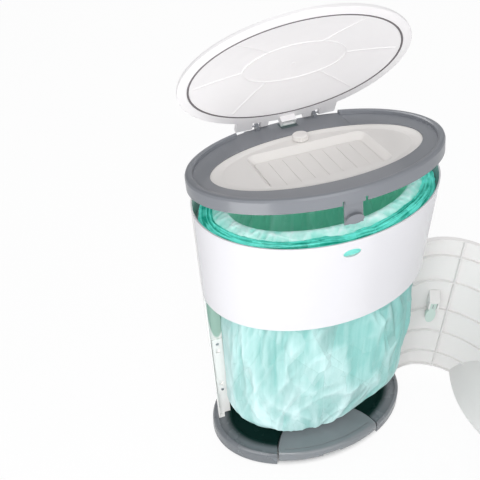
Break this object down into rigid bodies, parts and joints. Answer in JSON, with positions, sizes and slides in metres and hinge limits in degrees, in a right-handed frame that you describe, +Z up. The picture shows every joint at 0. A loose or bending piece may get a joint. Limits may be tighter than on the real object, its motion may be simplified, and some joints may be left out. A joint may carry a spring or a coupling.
{
  "type": "pedal nappy bin",
  "caption": "Oval pedal bin for used nappies: tilting collar with a trap-floored well, domed lid, side-hung front door, film cassette with hanging bag and a foot pedal.",
  "frame": {"origin": "on the floor under the middle of the body's oval rim", "axes": "+Z up, front of the bin towards -Y, door hinge on +X"},
  "size_m": [0.5814, 0.5583, 0.8637],
  "materials": {
    "slate": "slate grey moulded plastic with a fine matt grain",
    "rubber": "dark matt rubber",
    "white_plastic": "off-white satin moulded plastic",
    "collar_grey": "mid grey satin moulded plastic",
    "cassette_green": "blue-green moulded plastic",
    "film": "thin mint film, crinkled and slightly see-through",
    "steel": "plated steel"
  },
  "bodies": {
    "bin": {"base_tray": "slate", "base_feet": "rubber", "rear_shell": "white_plastic", "front_band": "white_plastic", "support_ring": "white_plastic", "liner_cassette": "cassette_green", "liner_stock": "film", "liner_bag": "film", "keeper_plate": "white_plastic", "keeper_screws": "steel", "rod_guides": "white_plastic", "pedal_axle": "steel", "pedal_spring": "steel", "door_hinge_pins": "steel", "collar_hinge_pin": "steel"},
    "collar": {"collar": "collar_grey", "hopper_plate": "white_plastic", "hopper_screws": "steel", "lid_hinge_pins": "steel", "trap_pin": "steel", "trap_spring": "steel"},
    "latch": {"latch": "collar_grey"},
    "trap": {"trap_door": "white_plastic"},
    "knob": {"knob": "white_plastic"},
    "lid": {"lid_shell": "white_plastic", "lid_panel": "white_plastic", "lid_seal": "rubber"},
    "door": {"door": "white_plastic", "cutter_bracket": "white_plastic", "cutter_pin": "steel"},
    "cutter": {"cutter": "white_plastic", "cutter_blade": "steel"},
    "pedal": {"pedal": "slate", "pedal_lever": "slate"},
    "rod": {"push_rod": "steel", "rod_cap": "rubber"}
  },
  "joints": [
    {"name": "collar_tilt", "type": "hinge", "parent": "bin", "child": "collar", "pos_m": [0, 0.15, 0.58], "axis": [-1, 0, 0], "range_deg": [-13.75, 57]},
    {"name": "lid_hinge", "type": "hinge", "parent": "collar", "child": "lid", "pos_m": [0, 0.14269, 0.61072], "axis": [-1, 0, 0], "range_deg": [-58.65, 21]},
    {"name": "door_hinge", "type": "hinge", "parent": "bin", "child": "door", "pos_m": [0.2058, 0, 0.394], "axis": [0.0434, 0, 0.9991], "range_deg": [-98, 12]},
    {"name": "cutter_swing", "type": "hinge", "parent": "door", "child": "cutter", "pos_m": [0.24668, -0.02634, 0.23251], "axis": [-0.9392, 0.3378, 0.061], "range_deg": [0, 75]},
    {"name": "pedal_press", "type": "hinge", "parent": "bin", "child": "pedal", "pos_m": [0, -0.02, 0.015], "axis": [1, 0, 0], "range_deg": [0, 5.5], "stiffness_Nm_per_rad": 3, "springref_deg": -5.73, "deforming": ["pedal_spring"]},
    {"name": "push_rod_slide", "type": "slide", "parent": "bin", "child": "rod", "axis": [0, 0.0574, 0.9984], "range_m": [0, 0.01072]},
    {"name": "latch_press", "type": "hinge", "parent": "collar", "child": "latch", "pos_m": [0, -0.11974, 0.6597], "axis": [1, 0, 0], "range_deg": [0, 8], "stiffness_Nm_per_rad": 1.5, "springref_deg": -1.15},
    {"name": "trap_swing", "type": "hinge", "parent": "collar", "child": "trap", "pos_m": [0, 0.04091, 0.60875], "axis": [1, 0, 0], "range_deg": [0, 75], "stiffness_Nm_per_rad": 0.25, "springref_deg": -14.32, "deforming": ["trap_spring"]},
    {"name": "knob_turn", "type": "hinge", "parent": "collar", "child": "knob", "pos_m": [0, 0.07503, 0.61863], "axis": [0, 0.2377, 0.9713], "range_deg": [0, 90]}
  ],
  "couplings": [
    {"joint": "push_rod_slide", "follows": "pedal_press", "m_per_rad": 0.1115}
  ]
}
